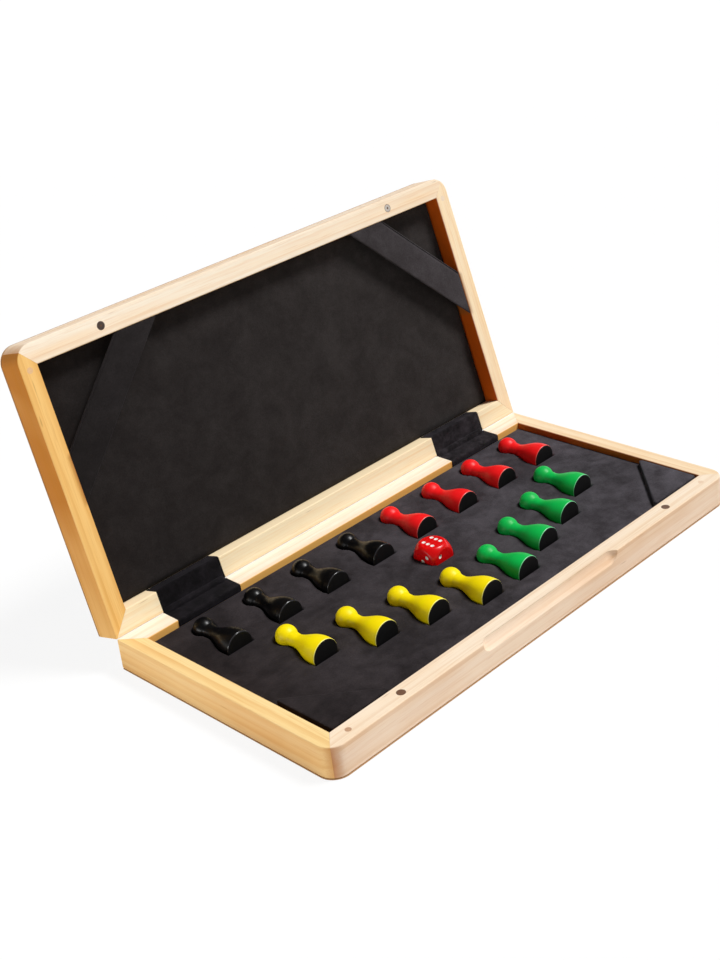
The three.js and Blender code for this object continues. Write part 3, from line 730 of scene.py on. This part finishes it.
# The grid's border is its foot, and one flat face closes it there
def closeFoot(grid):
    rows, columns = grid.shape[:2]
    faces = gridFaces(rows, columns, False).tolist()
    index = np.arange(rows * columns).reshape(rows, columns)
    border = np.r_[index[0, :-1], index[:-1, -1], index[-1, :0:-1], index[:0:-1, 0]]
    faces.append(border[::-1].tolist())
    return grid.reshape(-1, 3), faces


pockets = [pawnPocket(x, y, pawn["lift"][name.split("_")[0]]) for name, (x, y) in places.items()]
pockets.append(diePocket())
grid = panelSkin((-panelX, panelX), (case["foldY"] - panelFront, case["foldY"] - panelRear), topZ,
                 case["foldZ"] + case["panelFoot"], insert["cell"], insert["edge"], pockets)
piece = makePiece("insert_suede", closeFoot(grid), [suedes["insert"]], "base", 60, ["base_insert"])
print("insert made")


# Lining in the lid

lining = {"cell": 2.0, "edge": 1.2, "swell": 0.12}
grid = panelSkin((-panelX, panelX), (panelRear, panelFront), liningTop, case["panelFoot"],
                 lining["cell"], lining["edge"])
# The padding swells in long low waves
x, d = grid[..., 0], grid[..., 1]
wave = np.sin(x / 23) * np.sin(d / 17 + 1) + 0.6 * np.sin(x / 9 + d / 13)
grid[2:-2, 2:-2, 2] += lining["swell"] * wave[2:-2, 2:-2]
placed = placeOn("lid", x, d, grid[..., 2])
piece = makePiece("lining_suede", closeFoot(placed), [suedes["lining"]], "lid", 60, ["lid_lining"])
print("lining made")


# Corner pads

pad = {
    "leg": 38, "drop": 0.12, "round": 0.8, "nose": 1.2, "crown": 0.15, "crownRun": 5, "sink": 0.1,
    "stop": 6, "innermost": 0.95,
    "sideGap": {"left": 2.2, "right": 0.15}, "frontGap": {"left": 0.9, "right": 1.5},
}


# Triangle with rounded corners, as rings shrunk about its incentre. A ring's inset and
# height follow a wall, a quarter round and a low crown.
def padSkin(side):
    leg, nose = pad["leg"], pad["nose"]
    inradius = leg * leg / (2 * leg + leg * np.sqrt(2))
    corners = np.array([[0, 0], [leg, 0], [0, leg]], float)
    outline = []
    for k, here in enumerate(corners):
        before, after = corners[k - 1], corners[(k + 1) % 3]
        toBefore, toAfter = unit(before - here), unit(after - here)
        bend = np.arccos(toBefore @ toAfter)
        start, end = (here + way * nose / np.tan(bend / 2) for way in (toBefore, toAfter))
        middle = here + unit(toBefore + toAfter) * nose / np.sin(bend / 2)
        t = np.linspace(0, 1, 7)[:, None]
        outline.append(middle + unit(start * (1 - t) + end * t - middle) * nose)
        t = np.linspace(0, 1, 20)[1:, None]
        outline.append(outline[-1][-1:] * (1 - t) + (after - toAfter * pad["stop"]) * t)
    outline = np.concatenate(outline)
    r = pad["round"]
    top = rim - pad["drop"]
    foot = insertTop + pad["sink"]
    turn = np.linspace(0, np.pi / 2, 6)
    inset = np.r_[0, r - r * np.cos(turn), np.linspace(r, inradius * pad["innermost"], 16)[1:]]
    height = np.r_[foot, top - r + r * np.sin(turn), np.full(15, top)]
    crown = pad["crown"] * np.clip((inset - r) / pad["crownRun"], 0, 1) ** 0.5
    shrink = 1 - inset / inradius
    flat = inradius + (outline - inradius)[None] * shrink[:, None, None]
    x = sides[side] * (panelX - pad["sideGap"][side] - flat[..., 0])
    d = panelFront - pad["frontGap"][side] - flat[..., 1]
    h = np.broadcast_to((height + crown - pad["crown"])[:, None], x.shape).copy()
    h[0] = foot
    return skinOver(placeOn("base", x, d, h))


for side in sides:
    piece = makePiece(f"corner_pad_{side}_suede", padSkin(side), [suedes["insert"]], "base", 50,
                      [f"base_corner_pad_{side}"])
print("corner pads made")


# Straps across the lid's front corners

strap = {"near": 45.5, "far": 71.5, "thick": 1.2, "drop": 0.4, "sag": 0.25, "off": 0.03}


# The near and far edges run from the front rail to the side rail, and each end is cut
# to lie flat against its rail. The crossing sags a little at its middle.
def strapLines(mirror):
    level = rim - strap["drop"] - strap["thick"] / 2
    t = np.linspace(0, 1, 40)
    edges = []
    for reach in (strap["near"], strap["far"]):
        u = reach * (1 - t) + strap["off"] * t
        v = strap["off"] * (1 - t) + reach * t
        edges.append(placeOn("lid", mirror * (innerX - u), innerFront - v, level - strap["sag"] * np.sin(np.pi * t)))
    return edges


for side, mirror in sides.items():
    near, far = strapLines(mirror)
    piece = makePiece(f"strap_{side}_suede", skinOver(bandRings(near, far, strap["thick"])), [suedes["strap"]],
                      "lid", 60, [f"lid_strap_{side}"])
    run = np.linalg.norm(np.diff((near + far) / 2, axis=0), axis=1).sum()
print("straps made")


# Suede strips over the hinges

strip = {
    "width": 40.5, "thick": 0.6, "sink": 0.2, "lift": 0.15, "barrel": 1.3, "stations": 121, "ease": 1.3,
    "swell": 0.06, "calm": 12, "leafHalf": 17.2, "sag": 2.4,
    # How far behind the rear rail's face, and below the insert and the lining, it ends
    "behind": 0.2, "belowInsert": 0.3, "belowLining": 0.4,
    # Where each half takes hold of it, as d and h
    "heldAt": (3.5, -0.4),
}


# The strip's run in the (y, z) plane: up the base rail, along its rim, over the barrel
# or straight into the crease beside it, along the lid's rim and down to the lining. The
# corners are eased by a running mean.
def stripRun(overBarrel):
    bend = case["openAngle"]
    height = rim - strip["sink"] - strip["thick"] / 2
    drop = innerRear - strip["behind"] + strip["thick"] / 2
    radius = strip["barrel"] + strip["lift"] + strip["thick"] / 2
    dip = np.arcsin(height / radius)
    foot = radius * np.cos(dip) + strip["thick"]
    angle = np.pi - dip - (bend - 2 * dip) * np.linspace(0, 1, 9)
    first = placeOn("base", 0, np.array([drop, drop, foot]),
                    np.array([insertTop - strip["belowInsert"], height, height]))
    over = np.stack([0 * angle, case["foldY"] + radius * np.cos(angle), case["foldZ"] + radius * np.sin(angle)], 1)
    crease = placeOn("base", 0, height / np.tan(bend / 2), height)[None]
    last = placeOn("lid", 0, np.array([foot, drop, drop]),
                   np.array([height, height, liningTop - strip["belowLining"]]))
    corners = np.concatenate([first, over if overBarrel else crease, last])
    at = np.r_[0, np.cumsum(np.linalg.norm(np.diff(corners, axis=0), axis=1))]
    even = np.linspace(0, at[-1], strip["stations"])
    line = np.stack([np.interp(even, at, corners[:, k]) for k in range(3)], 1)
    window = int(strip["ease"] / even[1]) | 1
    padded = np.pad(line, ((window // 2, window // 2), (0, 0)), mode="reflect", reflect_type="odd")
    total = np.cumsum(np.pad(padded, ((1, 0), (0, 0))), axis=0)
    return (total[window:] - total[:-window]) / window


run = stripRun(True)
creased = stripRun(False)
out = unit(np.cross(np.gradient(run, axis=0), [1, 0, 0]))
fromEnd = np.minimum(np.arange(len(run)), np.arange(len(run))[::-1])
calm = np.clip(fromEnd / strip["calm"], 0, 1)
for side, mirror in sides.items():
    centreX = mirror * case["hingeX"]
    offset = np.array([strip["width"] / 2, 0, 0])
    middle = run + [centreX, 0, 0]
    rings = bandRings(middle - offset, middle + offset, strip["thick"])
    # Beside the leaf the strip sinks into the crease, along a smooth step
    past = (np.abs(rings[..., :1] - centreX) - strip["leafHalf"]) / strip["sag"]
    rings = rings + smoothStep(past) * (creased - run)[:, None]
    # The pile swells and dips softly over the leaves below, but not at its ends
    x, y, z = np.moveaxis(rings, -1, 0)
    swell = np.sin(x / 2.7 + mirror) * np.sin(y / 1.9) + np.sin(z / 1.3 + x / 5)
    rings = rings + strip["swell"] * (swell * calm[:, None])[..., None] * out[:, None]
    piece = makePiece(f"hinge_strip_{side}_suede", skinOver(rings), [suedes["strip"]], None, 60,
                      [f"hinge_cover_{side}"])
    held = [tuple(placeOn(half, centreX, *strip["heldAt"]) * 0.001) for half in halves]
    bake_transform(piece)
print("hinge strips made")


# Mild steel, stamped and zinc plated: grey with a faint blue cast and fine rolling lines
plating = mottledFinish("zincPlate", {"Metallic": 1}, ("#aeb2b8", "#c9ccd0"), 0.003, 4, roughness=(0.28, 0.45))

# Neodymium discs, nickel plated and dulled by handling: brownish in the base's rim,
# where glue smeared over them, dark in the lid's left one, and bright in its right one,
# whose pale tone is a painted highlight
discs = {name: mottledFinish(f"nickelDisc_{name}", {"Metallic": 0.4, "Roughness": 0.45}, tones, 0.0014, 3)
         for name, tones in {"base_left": ("#744e38", "#97725a"), "base_right": ("#6e5040", "#957662"),
                             "lid_left": ("#2c211c", "#5a4a42"), "lid_right": ("#b4aaa2", "#ddd5cc")}.items()}

# A dark thin ring with a slight gloss round each magnet: painted shade of the recess it sits in
paintedShade = mottledFinish("recessShade", {"Roughness": 0.4}, ("#3a2113", "#6e4526"), 0.001, 2)

# Beech dowels sawn flush: end grain, a shade pinker than the pine, the left one of the
# base darkened by oil
dowels = {name: mottledFinish(f"dowelEndGrain_{name}", {"Roughness": 0.6}, tones, 0.0007, 2)
          for name, tones in {"base_left": ("#d0a888", "#b48866"), "base_right": ("#f6dcc0", "#e6c4a2"),
                              "lid_left": ("#f0c493", "#e0ae7c"), "lid_right": ("#fbe6cc", "#ecd0b2")}.items()}

# Birch plywood, rotary cut: pale broad figure, seen only when the box is taken apart
ply = mottledFinish("birchPly", {"Roughness": 0.65}, ("#dcb988", "#c59a64"), 0.006, 4, stretch=(0.06, 1, 1))

# Magnets and wooden plugs in the rims: a flat disc with a fine chamfer, in a thin ring.
# The profile runs out from a dimple at the middle to the ring and down into the rail.
rimDisc = {
    "magnet": 2.0, "plug": 1.5, "magnetRing": 0.25, "plugRing": 0.08, "chamfer": 0.25, "proud": 0.03,
    "deep": 1.2, "turns": 40, "magnetAt": (101, 144.5), "plugAt": {"base": (134, 144.5), "lid": (145, 137.5)},
}


def makeDisc(name, finishes, half, x, d, radius, ring):
    p, c = rimDisc["proud"], rimDisc["chamfer"]
    widths = [0.1, 0.32 * radius, radius - c, radius, radius, radius + ring, radius + ring, 0.1]
    heights = [p, p, p, 0.6 * p, 0.4 * p, 0.3 * p, -rimDisc["deep"], -rimDisc["deep"]]
    skin = skinOver(turnedRings(widths, heights, placeOn(half, x, d, rim), upFrom(half), rimDisc["turns"]))
    looks = np.zeros(len(skin[1]), int)
    looks[4 * rimDisc["turns"]:6 * rimDisc["turns"]] = 1
    # The lid's discs also take the dark finish in a dot at the middle
    looks[:rimDisc["turns"]] = looks[-2] = half == "lid"
    makePiece(f"{name}_disc", skin, finishes, half, 20, [name], looks)


for half in halves:
    for side, mirror in sides.items():
        x, d = rimDisc["magnetAt"]
        makeDisc(f"{half}_magnet_{side}", [discs[f"{half}_{side}"], paintedShade], half, mirror * x, d,
                 rimDisc["magnet"], rimDisc["magnetRing"])
        x, d = rimDisc["plugAt"][half]
        makeDisc(f"{half}_rim_plug_{side}", [dowels[f"{half}_{side}"]] * 2, half, mirror * x, d,
                 rimDisc["plug"], rimDisc["plugRing"])
print("rim discs made")

# Flat-headed screws in the hinge leaves: a cone head with a four-lobed recess, whose
# radius swings with the turn, over a ridged shank
screw = {
    "spacing": 22, "setback": 6.5, "leafTop": -1.05, "turns": 40,
    "widths": [0.08, 0.5, 1.05, 1.15, 1.92, 2.0, 1.0, 1.0], "recessRows": 3,
    "heights": [-0.75, -0.65, -0.05, 0, 0, -0.06, -1.05, -1.4],
    "ridge": 0.8, "ridges": 7, "ridgeWidths": [0.75, 1.0], "tip": 0.8,
}
angle = np.linspace(0, 2 * np.pi, screw["turns"], endpoint=False)
shank = np.tile(screw["ridgeWidths"], screw["ridges"])
shankDown = screw["heights"][-1] - screw["ridge"] * (np.arange(len(shank)) + 1) / 2
widths = np.r_[screw["widths"], shank, 0.1 * shank[0]][:, None] * np.ones(screw["turns"])
widths[:screw["recessRows"]] *= 0.4 + 0.6 * np.abs(np.cos(2 * angle)) ** 4
heights = np.r_[screw["heights"], shankDown, shankDown[-1] - screw["tip"]]
for half in halves:
    for side, mirror in sides.items():
        for count, shift in ((1, -0.5), (2, 0.5)):
            x = mirror * case["hingeX"] + shift * screw["spacing"]
            place = placeOn(half, x, screw["setback"], screw["leafTop"])
            skin = skinOver(turnedRings(widths, heights, place, upFrom(half), screw["turns"]))
            makePiece(f"{half}_hinge_screw_{side}_{count}", skin, [plating], half, 30)
print("screws made")

# Play sheet: coated paper with the old cross-shaped race track in flat offset inks under
# a satin varnish. It has 15 x 15 squares of 20 mm, and each half carries its half. A
# place on it is counted in squares: U along the fold and V away from it.
playSheet = {
    "square": 20, "paper": "#f1e8d2", "ink": "#211b17", "bareBoard": "#b98a58", "line": 0.022,
    "yardAt": 4.5, "yardHalf": 3, "fieldHalf": 2, "homeHalf": 1.5, "standAt": 0.95, "standRadius": 0.55,
    "edgeAt": 7.05, "edgeRadius": 0.43, "mottle": 0.004,
    "yellow": "#e8cd1e", "green": "#1c9849", "red": "#d2272a", "black": "#2a292b",
    "base": {"left": "yellow", "right": "green", "arm": "yellow",
             "starts": [((-1, 6), "yellow"), ((6, 1), "green")]},
    "lid": {"left": "black", "right": "red", "arm": "red",
            "starts": [((1, 6), "red"), ((-6, 1), "black")]},
    "sideArms": {"left": "black", "right": "green"},
}


# Prints boxes over a tone, in order. A place is inside where its distance from the
# box's centre, less half the box's size, is below nought along both sides.
def printBoxes(add, tone, boxes):
    for where, centre, size, colour in boxes:
        off = add("VectorMath", [where, (*centre, 0)], "SUBTRACT")
        off = add("VectorMath", [off], "ABSOLUTE")
        past = add("VectorMath", [off, (*size, 0)], "SUBTRACT")
        most = add("Math", list(add("SeparateXYZ", [past]).outputs)[:2], "MAXIMUM")
        inside = add("Math", [most, 0], "LESS_THAN")
        tone = add("Mix", {0: inside, 6: tone, 7: colour}, data_type="RGBA")
    return tone


def sheetMaterial(half):
    look, line, ink, paper = playSheet[half], playSheet["line"], playSheet["ink"], playSheet["paper"]
    yard, home, apart, edge = (playSheet[name] for name in ("yardAt", "homeHalf", "standAt", "edgeAt"))
    material, shader, add = startMaterial(f"printedPaper{half.title()}", {"IOR": 1.5})
    point = add("TexCoord").outputs["Object"]
    fold = (0, case["foldY"] * 0.001, case["foldZ"] * 0.001)
    fromFold = add("VectorMath", [point, fold], "SUBTRACT")
    perMetre = 1000 / playSheet["square"]
    away = (placeOn(half, 0, 1, 0) - placeOn(half, 0, 0, 0)) * perMetre
    u = add("VectorMath", [fromFold, (perMetre, 0, 0)], "DOT_PRODUCT")
    v = add("VectorMath", [fromFold, tuple(away)], "DOT_PRODUCT")
    place = add("CombineXYZ", [u, v])
    folded = add("VectorMath", [place], "ABSOLUTE")
    leftward = add("Math", [u, 0], "LESS_THAN")
    yardTone, armTone = [
        add("Mix", {0: leftward, 6: playSheet[colours["right"]], 7: playSheet[colours["left"]]}, data_type="RGBA")
        for colours in (look, playSheet["sideArms"])]
    upArm = playSheet[look["arm"]]
    tone = printBoxes(add, paper, [
        (place, (0, 4), (0.5, 2.5), upArm), (folded, (4, 0), (2.5, 0.5), armTone),
        *[(place, at, (0.5, 0.5), playSheet[colour]) for at, colour in look["starts"]]])
    # Fine lines between the squares, halfway between whole numbers
    for value in (u, v):
        part = add("Math", [value], "FRACT")
        part = add("Math", [part, 0.5], "SUBTRACT")
        part = add("Math", [part], "ABSOLUTE")
        onLine = add("Math", [part, line], "LESS_THAN")
        tone = add("Mix", {0: onLine, 6: tone, 7: ink}, data_type="RGBA")
    # The yards, their fields and the home square, each inked a line larger, then filled
    filled = ((yard, playSheet["yardHalf"], yardTone), (yard, playSheet["fieldHalf"], paper), (0, home, armTone))
    tone = printBoxes(add, tone, [
        (folded, (at, at), (size + grow,) * 2, colour)
        for at, size, fill in filled for grow, colour in ((line, ink), (-line, fill))])
    # The home square's triangle towards this half's arm, and the lines beside it
    alongFold, offFold, _ = add("SeparateXYZ", [folded]).outputs
    lean = add("Math", [offFold, alongFold], "SUBTRACT")
    deep = add("Math", [v, home - line], "LESS_THAN")
    for reach, colour in ((-line, ink), (line, upArm)):
        leaning = add("Math", [lean, reach], "GREATER_THAN")
        both = add("Math", [leaning, deep], "MULTIPLY")
        tone = add("Mix", {0: both, 6: tone, 7: colour}, data_type="RGBA")
    # Four round stands in each yard
    around = add("VectorMath", [folded, (yard, yard, 0)], "SUBTRACT")
    around = add("VectorMath", [around], "ABSOLUTE")
    stand = add("VectorMath", [around, (apart, apart, 0)], "DISTANCE")
    for grow, colour in ((line, ink), (-line, yardTone)):
        within = add("Math", [stand, playSheet["standRadius"] + grow], "LESS_THAN")
        tone = add("Mix", {0: within, 6: tone, 7: colour}, data_type="RGBA")
    # The cut edge and the last bit beside it are bare board
    out = add("VectorMath", [folded, (edge, edge, 0)], "SUBTRACT")
    out = add("VectorMath", [out, (0, 0, 0)], "MAXIMUM")
    out = add("VectorMath", [out], "LENGTH")
    onEdge = add("Math", [out, playSheet["edgeRadius"]], "GREATER_THAN")
    tone = add("Mix", {0: onEdge, 6: tone, 7: playSheet["bareBoard"]}, data_type="RGBA")
    mottle = add("TexNoise", {"Vector": point, "Scale": 1 / playSheet["mottle"], "Detail": 3})
    shade = add("MapRange", [mottle, 0.3, 0.7, 0.94, 1])
    feed(shader, {
        "Base Color": add("VectorMath", {0: tone, "Scale": shade}, "SCALE"),
        "Roughness": add("MapRange", [mottle, 0.3, 0.7, 0.36, 0.48])})
    return material


def dress(node, material):
    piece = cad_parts[node]
    piece.data.materials.clear()
    piece.data.materials.append(material)


for half in halves:
    dress(f"{half}_board", ply)
    dress(f"{half}_play_sheet", sheetMaterial(half))
    for side in sides:
        dress(f"{half}_hinge_leaf_{side}", plating)
for side in sides:
    dress(f"hinge_pin_{side}", plating)
print("boards and hinges dressed")

# Floor, light and camera. One soft sun stands for a large softbox over the right
# shoulder, a dim plain world for the room, and a low lamp for the card at the left.
studio = {
    "paper": "#f4f4f4", "sweepRadius": 12, "sweepHeight": 3, "floorDrop": 0.0003, "floorTurns": 96,
    "shown": 0.9, "kept": 0.1, "whiteFrom": 1, "whiteTo": 4, "ambient": 0.09,
    "sunFrom": (0.42, -0.3, 0.855), "sunStrength": 3.35, "sunAngle": 17,
    "cardAt": (-0.5, 0.06, 0.06), "cardAim": (-0.15, 0.03, 0.03), "cardSize": (0.3, 0.06), "cardPower": 0.5,
    "camera": (-0.48972, -0.49954, 0.41517), "turn": (67.76063, 6.25099, -45.85465),
    "lens": 58.2432, "shift": (-0.029167, -0.135417),
}

scene = bpy.context.scene
scene.view_settings.view_transform = "Standard"

# Seen by the camera or in a reflection, the paper shows white and keeps a soft shadow,
# and far off it is all white; for other light it is plain white paper
floorPaint = bpy.data.materials.new("floorPaper")
floorPaint.use_nodes = True
floorPaint.node_tree.nodes.clear()
floorPaint.cycles.emission_sampling = "NONE"
add = partial(addNode, floorPaint.node_tree)
plainPaper = add("BsdfDiffuse", {"Color": studio["paper"]})
softPaper = add("BsdfDiffuse", {"Color": (studio["kept"], studio["kept"], studio["kept"], 1)})
fromMiddle = add("VectorMath", [add("TexCoord").outputs["Object"]], "LENGTH")
farOff = add("MapRange", [fromMiddle, studio["whiteFrom"], studio["whiteTo"], studio["shown"], 1])
glow = add("Emission", {"Color": (1, 1, 1, 1), "Strength": farOff})
shown = add("AddShader", [softPaper, glow])
ray = add("LightPath").outputs
seen = add("Math", [ray["Is Camera Ray"], ray["Is Glossy Ray"]], "MAXIMUM")
seen = add("Math", [seen, ray["Is Transmission Ray"]], "MAXIMUM")
add("OutputMaterial", {"Surface": add("MixShader", [seen, plainPaper, shown])})

# A flat disc of paper with an upright rim far away
sweepRadius = [0.01, 0.4, 2, 6, studio["sweepRadius"], studio["sweepRadius"]]
sweepHeight = np.array([0, 0, 0, 0, 0, studio["sweepHeight"]]) - studio["floorDrop"]
sweep = turnedRings(sweepRadius, sweepHeight, np.zeros(3), (0, 0, 1), studio["floorTurns"])
sweepFaces = gridFaces(*sweep.shape[:2], True).tolist() + [list(range(studio["floorTurns"]))]
floorMesh = bpy.data.meshes.new("floorSweep")
floorMesh.from_pydata(sweep.reshape(-1, 3).tolist(), [], sweepFaces)
floorMesh.materials.append(floorPaint)


# Puts a thing in the scene, at a place and turned as given
def setUp(name, data, at=(0, 0, 0), turn=(0, 0, 0)):
    holder = bpy.data.objects.new(name, data)
    holder.location, holder.rotation_euler = at, turn
    scene.collection.objects.link(holder)
    return holder


# The turn that makes a lamp shine along a direction
def aimedAlong(along):
    pitch = np.arctan2(np.hypot(along[0], along[1]), -along[2])
    return (pitch, 0, np.arctan2(along[1], along[0]) - np.pi / 2)


setUp("floorSweep", floorMesh)

world = bpy.data.worlds.new("studioWorld")
world.use_nodes = True
feed(world.node_tree.nodes["Background"], {"Strength": studio["ambient"], "Color": (1, 1, 1, 1)})
scene.world = world

sun = bpy.data.lights.new("softboxSun", "SUN")
sun.energy = studio["sunStrength"]
sun.angle = np.radians(studio["sunAngle"])
setUp("softboxSun", sun, turn=aimedAlong(-np.array(studio["sunFrom"])))

card = bpy.data.lights.new("leftCard", "AREA")
card.shape = "RECTANGLE"
card.size, card.size_y = studio["cardSize"]
card.energy = studio["cardPower"]
cardTurn = aimedAlong(np.array(studio["cardAim"]) - np.array(studio["cardAt"]))
setUp("leftCard", card, studio["cardAt"], cardTurn).visible_camera = False

lens = bpy.data.cameras.new("photoCamera")
lens.lens = studio["lens"]
lens.shift_x, lens.shift_y = studio["shift"]
scene.camera = setUp("photoCamera", lens, studio["camera"], tuple(np.radians(studio["turn"])))
print("studio made")
